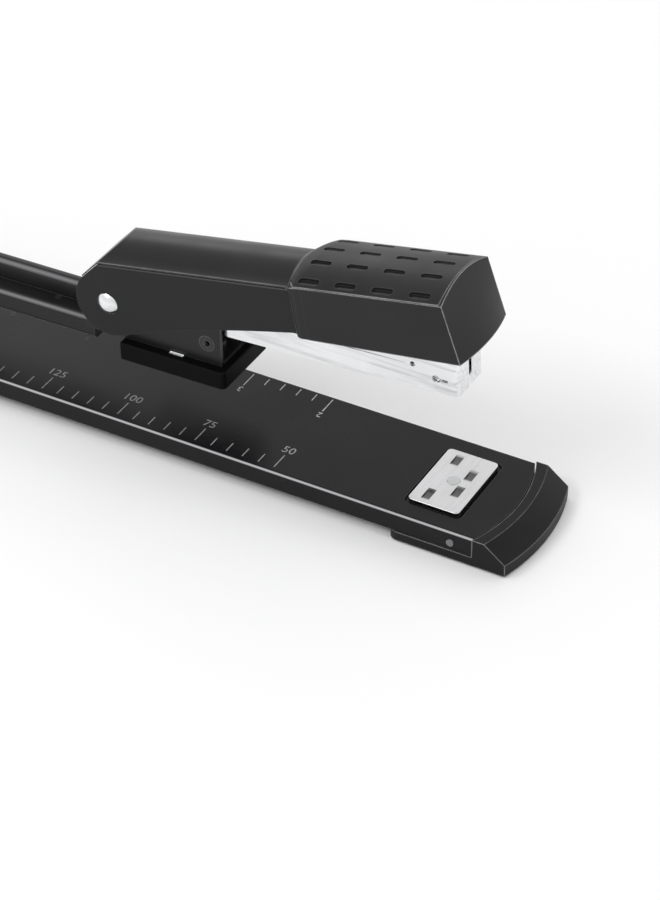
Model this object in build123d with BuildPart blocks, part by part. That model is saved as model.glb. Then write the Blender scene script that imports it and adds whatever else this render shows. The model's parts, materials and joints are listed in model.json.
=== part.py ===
"""Long-arm stapler: steel base with a turning anvil, a sprung arm, a staple magazine and a press handle.

Frame: origin under the middle of the base, +X towards the nose, +Z up, millimetres.
The arm, the magazine and the handle stand at their resting tilts, so each has a frame of its own:
(x, z, tilt) with local x forward along the piece and local z up from it.
"""
from build123d import *
import math
import os

os.makedirs("parts", exist_ok=True)

# ---- base
LENGTH = 384.0
BASE_HALF = 19.25
BASE_TOP = 9.0
SHEET = 1.0
FLANGE_FOOT = 3.4
PLATE_REAR = -183.0
SEAM_CENTRE_X = 135.0
SEAM_R = 48.0
SEAM_GAP = 0.3
CAP_HALF = 19.6
CAP_FLOOR = 0.5
NOSE_R = 65.5
NOSE_BEVEL_RUN = 6.0
NOSE_BEVEL_FOOT = 4.1
SKIRT_TOP = 3.3
SKIRT_REAR = 154.0
FOOT_R = 5.0
FRONT_FOOT_X = 177.4
FRONT_FOOT_Y = 11.0
REAR_FOOT_Y = 12.0
NOSE_RIVET_X = 172.7
REAR_RIVET_X = -172.0
RIVET_Z = 5.6
RIVET_R = 0.9
BOLT_R = 1.5
BOLT_PLACES = [(-158.0, 5.0), (-158.0, -5.0), (-176.0, 5.0), (-176.0, -5.0)]

# ---- anvil
ANVIL_X = 163.9
ANVIL_LENGTH = 15.2
ANVIL_WIDTH = 25.2
ANVIL_TOP = 10.0
POCKET_OFFSET = 3.2
POCKET_LENGTH = 5.0
POCKET_WIDTH = 2.4
POCKET_DEPTH = 0.5
INNER_POCKET_Y = 4.0
OUTER_POCKET_Y = 8.5
ANVIL_SHAFT_R = 1.5

# ---- arm
PIVOT_X = -167.0
PIVOT_Z = 23.4
ARM_TILT = 1.2
ARM_HALF = 8.0
ARM_DEPTH = 6.6
RIB_HALF = 2.2
RIB_TOP = 9.4
ARM_END = 223.0
RIB_END = 216.5
PIVOT_R = 2.5

# ---- head
PIN_X = 62.0
PIN_Z = 39.8
PIN_R = 2.5
RUNNING = 0.05
BRACKET_IN = 8.1
BRACKET_OUT = 9.1
BRACKET_FRONT = 264.5
TONGUE_REAR = 204.0
TONGUE_HALF = 4.0
TONGUE_RIVETS = [(208.0, 2.9), (208.0, -2.9)]
TONGUE_RIVET_R = 0.8
TONGUE_HEAD_R = 1.5
TONGUE_HEAD = 0.5
WEB_LOW = 1.25
WEB_HIGH = 2.25
BUMPER_HALF = 12.0
BUMPER_REAR = 233.4
BUMPER_FRONT = 266.8
BUMPER_CORNER_R = 1.6
BUMPER_LOW = -4.1
BUMPER_HIGH = 1.2
BUMPER_REAR_R = 1.0
SCREW_ALONG = (243.0, 259.0)
SCREW_R = 1.5

# ---- magazine
MAG_TILT = 3.1
MAG_IN = 6.6
MAG_OUT = 7.3
MAG_LOW = -2.4
MAG_HIGH = 9.0
MAG_FRONT = 105.9
MAG_SHEET = 0.7
RAIL_HALF = 5.6
RAIL_TOP = 3.95
RAIL_FRONT = 103.7
RAIL_RIVETS = (23.0, 85.0)
RAIL_RIVET_R = 1.2
STRIP_HALF = 6.45
STRIP_TOP = 4.6
STRIP_REAR = 78.0
STRIP_FRONT = 103.9
STRIP_WIRE = 0.5
STRIP_PLAY = 0.12
LEG_TIP = -1.5
ROD_Z = 7.0
ROD_R = 0.8
PUSHER_LENGTH = 11.5

# ---- handle
HANDLE_TILT = 10.8
HANDLE_IN = 9.25
HANDLE_OUT = 10.1
HANDLE_TOP = 12.1
EAR_R = 10.1
COVER_FRONT = 60.2
COVER_EDGE = 0.4
COVER_CROWN = 3.9
COVER_PLATE = 0.45
COVER_GAP = 0.1
COVER_WALL = 1.5
GRIP_REAR = 60.4
GRIP_HALF = 13.3
GRIP_LOW_REAR = -0.45
GRIP_LOW_FRONT = -2.1
GRIP_EDGE = 14.9
GRIP_CROWN = 17.7
GRIP_WALL = 1.6
PAD_REAR = 61.2
PAD_FLARE = 63.8
PAD_FRONT = 106.75
PAD_RIM = 0.5
PAD_THICK = 1.2
SLOT_LENGTH = 6.3
SLOT_WIDTH = 2.0
SLOT_DEPTH = 0.5
SLOT_COLUMNS = 4
SLOT_ROWS = 4
SLOT_MIDDLE = 84.1
SLOT_PITCH_X = 10.95
SLOT_PITCH_Y = 7.2
DRIVER_LEAN = 3.4
DRIVER_X = 104.8

ARM = (PIVOT_X, PIVOT_Z, ARM_TILT)
MAGAZINE = (PIN_X, PIN_Z, MAG_TILT)
HANDLE = (PIN_X, PIN_Z, HANDLE_TILT)
DRIVER = (PIN_X, PIN_Z, HANDLE_TILT - DRIVER_LEAN)


def point(frame, along, up):
    """Row position of a point given in a tilted frame."""
    x, z, tilt = frame
    t = math.radians(tilt)
    return (x + along * math.cos(t) - up * math.sin(t), 0, z + along * math.sin(t) + up * math.cos(t))


def side_plane(frame, y=0.0):
    """Plane seen from the -Y side, at the frame's origin: local x forward, local y up."""
    x, z, tilt = frame
    t = math.radians(tilt)
    return Plane(origin=(x, y, z), x_dir=(math.cos(t), 0, math.sin(t)), z_dir=(0, -1, 0))


def section_plane(frame, along, up=0.0):
    """Cross-section plane that faces forward: local x is row +Y, local y up."""
    t = math.radians(frame[2])
    return Plane(origin=point(frame, along, up), x_dir=(0, 1, 0), z_dir=(math.cos(t), 0, math.sin(t)))


def top_plane(frame, along, up):
    """Plane seen from above: local x forward, local y is row +Y."""
    t = math.radians(frame[2])
    return Plane(origin=point(frame, along, up), x_dir=(math.cos(t), 0, math.sin(t)),
                 z_dir=(-math.sin(t), 0, math.cos(t)))


def arm_local(x, z):
    """A row position as (along, up) in the arm's frame."""
    t = math.radians(ARM_TILT)
    return ((x - PIVOT_X) * math.cos(t) + (z - PIVOT_Z) * math.sin(t),
            -(x - PIVOT_X) * math.sin(t) + (z - PIVOT_Z) * math.cos(t))


def save(part, name):
    part.label = name
    export_step(part, f"parts/{name}.step")


PIN_ALONG, PIN_UP = arm_local(PIN_X, PIN_Z)

# ---------------------------------------------------------------- base plate
GROOVE_WIDTH = 1.0
GROOVE_DEPTH = 0.6
EDGE_R = 0.9
with BuildPart() as base_plate:
    with BuildSketch(Plane.XY.offset(FLANGE_FOOT)):
        with BuildLine():
            side_x = SEAM_CENTRE_X + math.sqrt(SEAM_R**2 - BASE_HALF**2)
            Polyline((side_x, -BASE_HALF), (PLATE_REAR, -BASE_HALF), (PLATE_REAR, BASE_HALF),
                     (side_x, BASE_HALF))
            ThreePointArc((side_x, BASE_HALF), (SEAM_CENTRE_X + SEAM_R, 0), (side_x, -BASE_HALF))
        make_face()
    extrude(amount=BASE_TOP - FLANGE_FOOT)
    long_top = base_plate.edges().filter_by(Axis.X).group_by(Axis.Z)[-1]
    fillet(long_top, radius=EDGE_R)
    with BuildSketch(Plane.XY.offset(FLANGE_FOOT)):
        Rectangle(2 * LENGTH, 2 * (BASE_HALF - SHEET))
    extrude(amount=BASE_TOP - SHEET - FLANGE_FOOT, mode=Mode.SUBTRACT)
    with BuildSketch(Plane.XY.offset(BASE_TOP)):
        with Locations((ANVIL_X, 0)):
            RectangleRounded(ANVIL_LENGTH + 2 * GROOVE_WIDTH, ANVIL_WIDTH + 2 * GROOVE_WIDTH, 2.0)
            RectangleRounded(ANVIL_LENGTH - 0.6, ANVIL_WIDTH - 0.6, 1.2, mode=Mode.SUBTRACT)
    extrude(amount=-GROOVE_DEPTH, mode=Mode.SUBTRACT)
    with Locations((ANVIL_X, 0, BASE_TOP)):
        Hole(ANVIL_SHAFT_R + RUNNING)
    with Locations([(x, y, BASE_TOP) for x, y in BOLT_PLACES]):
        Hole(BOLT_R)
    with BuildSketch(Plane.XZ):
        with Locations((NOSE_RIVET_X, RIVET_Z), (REAR_RIVET_X, RIVET_Z)):
            Circle(RIVET_R)
    extrude(amount=BASE_HALF + 1, both=True, mode=Mode.SUBTRACT)
save(base_plate.part, "base_plate")

# ---------------------------------------------------------------- stiffener under the plate
STIFF_HALF = 12.0
STIFF_REAR = -181.0
STIFF_FRONT = 150.0
with BuildPart() as base_stiffener:
    with BuildSketch(Plane.YZ.offset(STIFF_REAR)):
        with Locations((0, (FLANGE_FOOT + BASE_TOP - SHEET) / 2)):
            Rectangle(2 * STIFF_HALF, BASE_TOP - SHEET - FLANGE_FOOT)
        with Locations((0, (FLANGE_FOOT + BASE_TOP - 2 * SHEET) / 2)):
            Rectangle(2 * (STIFF_HALF - SHEET), BASE_TOP - 2 * SHEET - FLANGE_FOOT, mode=Mode.SUBTRACT)
    extrude(amount=STIFF_FRONT - STIFF_REAR)
    with Locations([(x, y, BASE_TOP) for x, y in BOLT_PLACES]):
        Hole(BOLT_R)
save(base_stiffener.part, "base_stiffener")

# ---------------------------------------------------------------- nose cap
NOSE_TIP = LENGTH / 2
NOSE_CENTRE_X = NOSE_TIP - NOSE_R
NOSE_SIDE_X = NOSE_CENTRE_X + math.sqrt(NOSE_R**2 - CAP_HALF**2)
BOSS_HALF_X = 4.5
BOSS_DEPTH = 4.0
SKIRT_CORNER_R = 3.0
WELL_R = 5.5
WELL_DEPTH = 1.2
INNER_HALF = BASE_HALF - SHEET - 0.05
with BuildPart() as nose_cap:
    with BuildSketch(Plane.XY.offset(CAP_FLOOR)):
        with BuildLine():
            Polyline((NOSE_SIDE_X, -CAP_HALF), (SKIRT_REAR, -CAP_HALF), (SKIRT_REAR, CAP_HALF),
                     (NOSE_SIDE_X, CAP_HALF))
            ThreePointArc((NOSE_SIDE_X, CAP_HALF), (NOSE_TIP, 0), (NOSE_SIDE_X, -CAP_HALF))
        make_face()
    extrude(amount=BASE_TOP - CAP_FLOOR)
    # the steel plate's own space, back from the seam
    with BuildSketch(Plane.XY.offset(SKIRT_TOP)):
        with Locations((SEAM_CENTRE_X, 0)):
            Circle(SEAM_R + SEAM_GAP)
    extrude(amount=BASE_TOP, mode=Mode.SUBTRACT)
    # slanted front face, a cone about the nose's centre
    with BuildSketch(Plane.XZ):
        with BuildLine():
            Polyline((NOSE_TIP - NOSE_BEVEL_RUN, BASE_TOP), (NOSE_TIP, NOSE_BEVEL_FOOT),
                     (NOSE_TIP + 5, NOSE_BEVEL_FOOT), (NOSE_TIP + 5, BASE_TOP + 1),
                     (NOSE_TIP - NOSE_BEVEL_RUN, BASE_TOP + 1), close=True)
        make_face()
    revolve(axis=Axis((NOSE_CENTRE_X, 0, 0), (0, 0, 1)), revolution_arc=360, mode=Mode.SUBTRACT)
    rear_corners = nose_cap.edges().filter_by(Axis.Z).group_by(Axis.X)[0]
    fillet(rear_corners, radius=SKIRT_CORNER_R)
    # bosses that the side rivets hold
    with BuildSketch(Plane.XY.offset(SKIRT_TOP)):
        boss_y = INNER_HALF - BOSS_DEPTH / 2
        with Locations((NOSE_RIVET_X, boss_y), (NOSE_RIVET_X, -boss_y)):
            Rectangle(2 * BOSS_HALF_X, BOSS_DEPTH)
    extrude(amount=BASE_TOP - SHEET - 0.05 - SKIRT_TOP)
    # well under the anvil's spring
    with BuildSketch(Plane.XY.offset(SKIRT_TOP)):
        with Locations((ANVIL_X, 0)):
            Circle(WELL_R)
    extrude(amount=-WELL_DEPTH, mode=Mode.SUBTRACT)
    # recesses for the rubber feet
    with BuildSketch(Plane.XY.offset(CAP_FLOOR)):
        with Locations((FRONT_FOOT_X, FRONT_FOOT_Y), (FRONT_FOOT_X, -FRONT_FOOT_Y)):
            Circle(FOOT_R)
    extrude(amount=0.5, mode=Mode.SUBTRACT)
    with BuildSketch(Plane.XZ):
        with Locations((NOSE_RIVET_X, RIVET_Z)):
            Circle(RIVET_R)
    extrude(amount=BASE_HALF, both=True, mode=Mode.SUBTRACT)
save(nose_cap.part, "nose_cap")

# ---------------------------------------------------------------- rear cap
REAR_SKIRT = -150.0
REAR_CORNER_R = 6.0
REAR_EDGE_R = 1.5
with BuildPart() as rear_cap:
    with BuildSketch(Plane.XY.offset(CAP_FLOOR)):
        with Locations(((REAR_SKIRT - NOSE_TIP) / 2, 0)):
            Rectangle(REAR_SKIRT + NOSE_TIP, 2 * CAP_HALF)
    extrude(amount=BASE_TOP - CAP_FLOOR)
    with BuildSketch(Plane.XY.offset(SKIRT_TOP)):
        with Locations((PLATE_REAR - SEAM_GAP + LENGTH / 2, 0)):
            Rectangle(LENGTH, 2 * CAP_HALF + 2)
    extrude(amount=BASE_TOP, mode=Mode.SUBTRACT)
    fillet(rear_cap.edges().filter_by(Axis.Z).group_by(Axis.X)[0], radius=REAR_CORNER_R)
    fillet(rear_cap.edges().filter_by(Axis.Z).group_by(Axis.X)[-1], radius=SKIRT_CORNER_R)
    rear_top = rear_cap.faces().sort_by(Axis.Z)[-1]
    fillet(rear_top.edges().sort_by(Axis.X)[:-1], radius=REAR_EDGE_R)
    with BuildSketch(Plane.XY.offset(SKIRT_TOP)):
        with Locations((REAR_RIVET_X, boss_y), (REAR_RIVET_X, -boss_y)):
            Rectangle(2 * BOSS_HALF_X, BOSS_DEPTH)
    extrude(amount=BASE_TOP - SHEET - 0.05 - SKIRT_TOP)
    with BuildSketch(Plane.XY.offset(CAP_FLOOR)):
        with Locations((REAR_RIVET_X, REAR_FOOT_Y), (REAR_RIVET_X, -REAR_FOOT_Y)):
            Circle(FOOT_R)
    extrude(amount=0.5, mode=Mode.SUBTRACT)
    with BuildSketch(Plane.XZ):
        with Locations((REAR_RIVET_X, RIVET_Z)):
            Circle(RIVET_R)
    extrude(amount=BASE_HALF, both=True, mode=Mode.SUBTRACT)
save(rear_cap.part, "rear_cap")

# ---------------------------------------------------------------- rubber feet
with BuildPart() as front_feet:
    with BuildSketch(Plane.XY):
        with Locations((FRONT_FOOT_X, FRONT_FOOT_Y), (FRONT_FOOT_X, -FRONT_FOOT_Y)):
            Circle(FOOT_R)
    extrude(amount=2 * CAP_FLOOR)
save(front_feet.part, "front_feet")

with BuildPart() as rear_feet:
    with BuildSketch(Plane.XY):
        with Locations((REAR_RIVET_X, REAR_FOOT_Y), (REAR_RIVET_X, -REAR_FOOT_Y)):
            Circle(FOOT_R)
    extrude(amount=2 * CAP_FLOOR)
save(rear_feet.part, "rear_feet")


# ---------------------------------------------------------------- side rivets of the caps
RIVET_HEAD_R = 1.2
RIVET_HEAD = 0.35


def side_rivets(x, name):
    """Two small rivets, one through each side flange into the cap's boss."""
    with BuildPart() as rivets:
        for side in (1, -1):
            outward = Plane(origin=(x, side * BASE_HALF, RIVET_Z), x_dir=(1, 0, 0), z_dir=(0, side, 0))
            with BuildSketch(outward):
                Circle(RIVET_R)
            extrude(amount=-BOSS_DEPTH)
            with BuildSketch(outward):
                Circle(RIVET_HEAD_R)
            extrude(amount=RIVET_HEAD, taper=20)
    save(rivets.part, name)


side_rivets(NOSE_RIVET_X, "nose_rivets")
side_rivets(REAR_RIVET_X, "rear_rivets")

# ---------------------------------------------------------------- rear bracket of the arm
BRACKET_SHEET = 1.2
REAR_IN = 8.3
REAR_OUT = REAR_IN + BRACKET_SHEET
REAR_BACK = -182.0
REAR_FRONT = -150.0
REAR_EAR_R = 8.0
with BuildPart() as rear_bracket:
    with BuildSketch(Plane.XY.offset(BASE_TOP)):
        with Locations(((REAR_BACK + REAR_FRONT) / 2, 0)):
            Rectangle(REAR_FRONT - REAR_BACK, 2 * REAR_OUT)
    extrude(amount=BRACKET_SHEET)
    with BuildSketch(Plane.XZ) as ear:
        with BuildLine():
            Polyline((PIVOT_X - REAR_EAR_R, PIVOT_Z), (REAR_BACK, BASE_TOP), (REAR_FRONT, BASE_TOP),
                     (PIVOT_X + REAR_EAR_R, PIVOT_Z))
            ThreePointArc((PIVOT_X + REAR_EAR_R, PIVOT_Z), (PIVOT_X, PIVOT_Z + REAR_EAR_R),
                          (PIVOT_X - REAR_EAR_R, PIVOT_Z))
        make_face()
        with Locations((PIVOT_X, PIVOT_Z)):
            Circle(PIVOT_R, mode=Mode.SUBTRACT)
    extrude(amount=REAR_OUT, both=True)
    with BuildSketch(Plane.XY.offset(BASE_TOP + BRACKET_SHEET)):
        with Locations((PIVOT_X, 0)):
            Rectangle(100, 2 * REAR_IN)
    extrude(amount=60, mode=Mode.SUBTRACT)
    with Locations([(x, y, BASE_TOP + BRACKET_SHEET) for x, y in BOLT_PLACES]):
        Hole(BOLT_R)
save(rear_bracket.part, "rear_bracket")

BOLT_HEAD_R = 2.8
NUT_HEIGHT = 1.8
HEAD_HEIGHT = 1.3
with BuildPart() as bracket_bolts:
    with BuildSketch(Plane.XY.offset(BASE_TOP + BRACKET_SHEET)):
        with Locations(BOLT_PLACES):
            Circle(BOLT_HEAD_R)
    extrude(amount=HEAD_HEIGHT, taper=25)
    with BuildSketch(Plane.XY.offset(BASE_TOP + BRACKET_SHEET)):
        with Locations(BOLT_PLACES):
            Circle(BOLT_R)
    extrude(amount=-(BRACKET_SHEET + 2 * SHEET + NUT_HEIGHT))
    with BuildSketch(Plane.XY.offset(BASE_TOP - 2 * SHEET)):
        with Locations(BOLT_PLACES):
            RegularPolygon(BOLT_HEAD_R, 6)
    extrude(amount=-NUT_HEIGHT)
save(bracket_bolts.part, "bracket_bolts")

PIVOT_HEAD_R = 4.0
PIVOT_HEAD = 1.4
with BuildPart() as pivot_pin:
    with BuildSketch(Plane.XZ):
        with Locations((PIVOT_X, PIVOT_Z)):
            Circle(PIVOT_R)
    extrude(amount=REAR_OUT, both=True)
    for side in (1, -1):
        outward = Plane(origin=(PIVOT_X, side * REAR_OUT, PIVOT_Z), x_dir=(1, 0, 0), z_dir=(0, side, 0))
        with BuildSketch(outward):
            Circle(PIVOT_HEAD_R)
        extrude(amount=PIVOT_HEAD, taper=30)
save(pivot_pin.part, "pivot_pin")

# ---------------------------------------------------------------- arm return spring and its seat
SPRING_X = -138.0
SPRING_R = 4.5
SPRING_WIRE = 0.6
SEAT_R = 6.5
SEAT_HEIGHT = 1.0
SPIGOT_R = 3.2
SPIGOT_HEIGHT = 3.0
ARM_UNDER = point(ARM, arm_local(SPRING_X, PIVOT_Z)[0], -ARM_DEPTH / 2)[2]
with BuildPart() as spring_seat:
    with BuildSketch(Plane.XY.offset(BASE_TOP)):
        with Locations((SPRING_X, 0)):
            Circle(SEAT_R)
    extrude(amount=SEAT_HEIGHT)
    with BuildSketch(Plane.XY.offset(BASE_TOP + SEAT_HEIGHT)):
        with Locations((SPRING_X, 0)):
            Circle(SPIGOT_R)
    extrude(amount=SPIGOT_HEIGHT)
save(spring_seat.part, "spring_seat")

spring_low = BASE_TOP + SEAT_HEIGHT + SPRING_WIRE + 0.05
spring_high = ARM_UNDER - SPRING_WIRE - 0.15
with BuildPart() as arm_return_spring:
    with BuildLine() as arm_coil:
        Helix(pitch=2.2, height=spring_high - spring_low, radius=SPRING_R, center=(SPRING_X, 0, spring_low))
    with BuildSketch(Plane(origin=arm_coil.line @ 0, z_dir=arm_coil.line % 0)):
        Circle(SPRING_WIRE)
    sweep(is_frenet=True)
save(arm_return_spring.part, "arm_return_spring")

# ---------------------------------------------------------------- anvil
with BuildPart() as anvil_plate:
    with BuildSketch(Plane.XY.offset(BASE_TOP)):
        with Locations((ANVIL_X, 0)):
            RectangleRounded(ANVIL_LENGTH, ANVIL_WIDTH, 1.3)
    extrude(amount=ANVIL_TOP - BASE_TOP)
    fillet(anvil_plate.faces().sort_by(Axis.Z)[-1].edges(), radius=0.25)
    # staple pockets: the front pair bends the legs inwards, the rear pair outwards
    pocket_r = ((POCKET_LENGTH / 2) ** 2 + POCKET_DEPTH**2) / (2 * POCKET_DEPTH)
    for x, y in ((POCKET_OFFSET, INNER_POCKET_Y), (-POCKET_OFFSET, OUTER_POCKET_Y)):
        for side in (1, -1):
            with BuildSketch(Plane.YZ.offset(ANVIL_X + x - POCKET_WIDTH / 2)):
                with Locations((side * y, ANVIL_TOP - POCKET_DEPTH + pocket_r)):
                    Circle(pocket_r)
            extrude(amount=POCKET_WIDTH, mode=Mode.SUBTRACT)
    with Locations((ANVIL_X, 0, ANVIL_TOP)):
        Hole(ANVIL_SHAFT_R)
save(anvil_plate.part, "anvil_plate")

RETAINER_LOW = 3.6
RETAINER_HIGH = 4.4
RETAINER_R = 4.2
ANVIL_HEAD_R = 1.9
ANVIL_HEAD = 0.25
ANVIL_TAIL_R = 2.2
ANVIL_TAIL = 0.6
with BuildPart() as anvil_rivet:
    with BuildSketch(Plane.XY.offset(ANVIL_TOP)):
        with Locations((ANVIL_X, 0)):
            Circle(ANVIL_HEAD_R)
    extrude(amount=ANVIL_HEAD, taper=30)
    with BuildSketch(Plane.XY.offset(ANVIL_TOP)):
        with Locations((ANVIL_X, 0)):
            Circle(ANVIL_SHAFT_R)
    extrude(amount=-(ANVIL_TOP - RETAINER_LOW))
    with BuildSketch(Plane.XY.offset(RETAINER_LOW)):
        with Locations((ANVIL_X, 0)):
            Circle(ANVIL_TAIL_R)
    extrude(amount=-ANVIL_TAIL)
save(anvil_rivet.part, "anvil_rivet")

with BuildPart() as anvil_retainer:
    with BuildSketch(Plane.XY.offset(RETAINER_LOW)):
        with Locations((ANVIL_X, 0)):
            Circle(RETAINER_R)
            Circle(ANVIL_SHAFT_R + RUNNING, mode=Mode.SUBTRACT)
    extrude(amount=RETAINER_HIGH - RETAINER_LOW)
save(anvil_retainer.part, "anvil_retainer")

ANVIL_WIRE = 0.25
anvil_low = RETAINER_HIGH + ANVIL_WIRE + 0.02
anvil_high = BASE_TOP - SHEET - ANVIL_WIRE - 0.02
with BuildPart() as anvil_spring:
    with BuildLine() as anvil_coil:
        Helix(pitch=0.9, height=anvil_high - anvil_low, radius=2.4, center=(ANVIL_X, 0, anvil_low))
    with BuildSketch(Plane(origin=anvil_coil.line @ 0, z_dir=anvil_coil.line % 0)):
        Circle(ANVIL_WIRE)
    sweep(is_frenet=True)
save(anvil_spring.part, "anvil_spring")

# ---------------------------------------------------------------- sliding paper stop
STOP_X = -90.0
STOP_HALF_X = 6.0
STOP_CLEAR = 0.1
STOP_OUT = 21.0
STOP_STRAP = 1.8
STOP_LUG_IN = 10.5
STOP_LUG_OUT = 17.0
STOP_LUG_TOP = 17.0
HOOK_LOW = 1.8
HOOK_IN = 17.0
with BuildPart() as paper_stop:
    with BuildSketch(Plane.YZ.offset(STOP_X - STOP_HALF_X)):
        strap_top = BASE_TOP + STOP_CLEAR + STOP_STRAP
        with Locations((0, (HOOK_LOW + strap_top) / 2)):
            Rectangle(2 * STOP_OUT, strap_top - HOOK_LOW)
        with Locations((0, (FLANGE_FOOT + BASE_TOP) / 2)):
            Rectangle(2 * (BASE_HALF + STOP_CLEAR), BASE_TOP - FLANGE_FOOT + 2 * STOP_CLEAR,
                      mode=Mode.SUBTRACT)
        with Locations((0, HOOK_LOW)):
            Rectangle(2 * HOOK_IN, 2 * (FLANGE_FOOT - HOOK_LOW), mode=Mode.SUBTRACT)
    extrude(amount=2 * STOP_HALF_X)
    with BuildSketch(Plane.XY.offset(strap_top)):
        lug_y = (STOP_LUG_IN + STOP_LUG_OUT) / 2
        with Locations((STOP_X, lug_y), (STOP_X, -lug_y)):
            Rectangle(2 * STOP_HALF_X, STOP_LUG_OUT - STOP_LUG_IN)
    extrude(amount=STOP_LUG_TOP - strap_top)
    lug_tops = paper_stop.faces().filter_by(Axis.Z).group_by(Axis.Z)[-1]
    fillet(lug_tops.edges(), radius=1.0)
save(paper_stop.part, "paper_stop")

# ---------------------------------------------------------------- arm beam
BODY_TOP = ARM_DEPTH / 2
ARM_BACK = -10.0
ARM_EDGE_R = 1.6
RIB_BACK = -8.0
RIB_EDGE_R = 1.9
with BuildPart() as arm_beam:
    with BuildSketch(section_plane(ARM, ARM_BACK)) as body_section:
        Rectangle(2 * ARM_HALF, ARM_DEPTH)
        fillet(body_section.vertices().group_by(Axis.Z)[-1], radius=ARM_EDGE_R)
    extrude(amount=ARM_END - ARM_BACK)
    with BuildSketch(top_plane(ARM, ARM_END - ARM_HALF, -ARM_DEPTH)):
        Rectangle(40, 4 * ARM_HALF, align=(Align.MIN, Align.CENTER))
        SlotCenterToCenter(40, 2 * ARM_HALF, mode=Mode.SUBTRACT)
    extrude(amount=2 * ARM_DEPTH, mode=Mode.SUBTRACT)
    with BuildSketch(section_plane(ARM, RIB_BACK, (BODY_TOP + RIB_TOP - 1) / 2)) as rib_section:
        Rectangle(2 * RIB_HALF, RIB_TOP - BODY_TOP + 1)
        fillet(rib_section.vertices().group_by(Axis.Z)[-1], radius=RIB_EDGE_R)
    extrude(amount=RIB_END - RIB_BACK)
    # hollow from below, with a notch in the rounded front wall for the bracket's tongue
    with BuildSketch(top_plane(ARM, ARM_BACK + SHEET, BODY_TOP - SHEET)):
        Rectangle(ARM_END - ARM_BACK - SHEET - ARM_HALF, 2 * (ARM_HALF - SHEET),
                  align=(Align.MIN, Align.CENTER))
        with Locations((ARM_END - ARM_BACK - SHEET - ARM_HALF, 0)):
            Circle(ARM_HALF - SHEET)
        Rectangle(ARM_END - ARM_BACK, 2 * TONGUE_HALF + 0.2, align=(Align.MIN, Align.CENTER))
    extrude(amount=-ARM_DEPTH, mode=Mode.SUBTRACT)
    with BuildSketch(section_plane(ARM, RIB_BACK + 2 * SHEET, (BODY_TOP + RIB_TOP) / 2 - 2 * SHEET)):
        Rectangle(2 * (RIB_HALF - SHEET), RIB_TOP - BODY_TOP + 2 * SHEET)
    extrude(amount=RIB_END - RIB_BACK - 4 * SHEET, mode=Mode.SUBTRACT)
    with BuildSketch(side_plane(ARM)):
        Circle(PIVOT_R + RUNNING)
    extrude(amount=ARM_HALF, both=True, mode=Mode.SUBTRACT)
    with BuildSketch(top_plane(ARM, 0, 0)):
        with Locations(TONGUE_RIVETS):
            Circle(TONGUE_RIVET_R)
    extrude(amount=BODY_TOP, mode=Mode.SUBTRACT)
save(arm_beam.part, "arm_beam")

LINER_REAR = 12.0
LINER_FRONT = 202.0
LINER_SHIFT = 0.6
with BuildPart() as arm_liner:
    with BuildSketch(section_plane(ARM, LINER_REAR)):
        with Locations((0, -LINER_SHIFT)):
            Rectangle(2 * (ARM_HALF - SHEET - RUNNING), ARM_DEPTH - 2 * LINER_SHIFT)
        with Locations((0, LINER_SHIFT)):
            Rectangle(2 * (ARM_HALF - 2 * SHEET), ARM_DEPTH - 2 * LINER_SHIFT, mode=Mode.SUBTRACT)
    extrude(amount=LINER_FRONT - LINER_REAR)
save(arm_liner.part, "arm_liner")

# ---------------------------------------------------------------- head bracket
BRACKET_EAR_R = 8.0
EAR_REAR = PIN_ALONG - BRACKET_EAR_R
ear_front = (PIN_ALONG + BRACKET_EAR_R / 2, PIN_UP + BRACKET_EAR_R * math.sqrt(0.75))
BRACKET_FRONT_TOP = 14.5
EYELET = arm_local(92.9, 36.4)
EYELET_R = 2.4
EYELET_HOLE_R = 1.0
EYELET_LIP = 0.08
with BuildPart() as head_bracket:
    with BuildSketch(side_plane(ARM)):
        with BuildLine():
            Polyline((EAR_REAR, PIN_UP), (EAR_REAR, WEB_LOW), (BRACKET_FRONT, WEB_LOW),
                     (BRACKET_FRONT, BRACKET_FRONT_TOP), ear_front)
            ThreePointArc(ear_front, (2 * PIN_ALONG - ear_front[0], ear_front[1]), (EAR_REAR, PIN_UP))
        make_face()
    extrude(amount=BRACKET_OUT, both=True)
    with BuildSketch(top_plane(ARM, EAR_REAR - 5, WEB_HIGH)):
        Rectangle(80, 2 * BRACKET_IN, align=(Align.MIN, Align.CENTER))
    extrude(amount=40, mode=Mode.SUBTRACT)
    with BuildSketch(top_plane(ARM, EAR_REAR - 5, WEB_LOW - 1)):
        Rectangle(ARM_END - EAR_REAR + 5.2, 2 * BRACKET_IN, align=(Align.MIN, Align.CENTER))
    extrude(amount=5, mode=Mode.SUBTRACT)
    with BuildSketch(top_plane(ARM, TONGUE_REAR, WEB_LOW)):
        Rectangle(ARM_END - TONGUE_REAR + 6, 2 * TONGUE_HALF, align=(Align.MIN, Align.CENTER))
    extrude(amount=WEB_HIGH - WEB_LOW)
    with BuildSketch(side_plane(ARM)):
        with Locations((PIN_ALONG, PIN_UP)):
            Circle(PIN_R)
        with Locations(EYELET):
            Circle(EYELET_R)
    extrude(amount=BRACKET_OUT + 1, both=True, mode=Mode.SUBTRACT)
    with BuildSketch(top_plane(ARM, 0, WEB_LOW)):
        with Locations(TONGUE_RIVETS):
            Circle(TONGUE_RIVET_R)
        with Locations([(along, 0) for along in SCREW_ALONG]):
            Circle(SCREW_R)
    extrude(amount=WEB_HIGH - WEB_LOW, mode=Mode.SUBTRACT)
save(head_bracket.part, "head_bracket")

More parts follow.
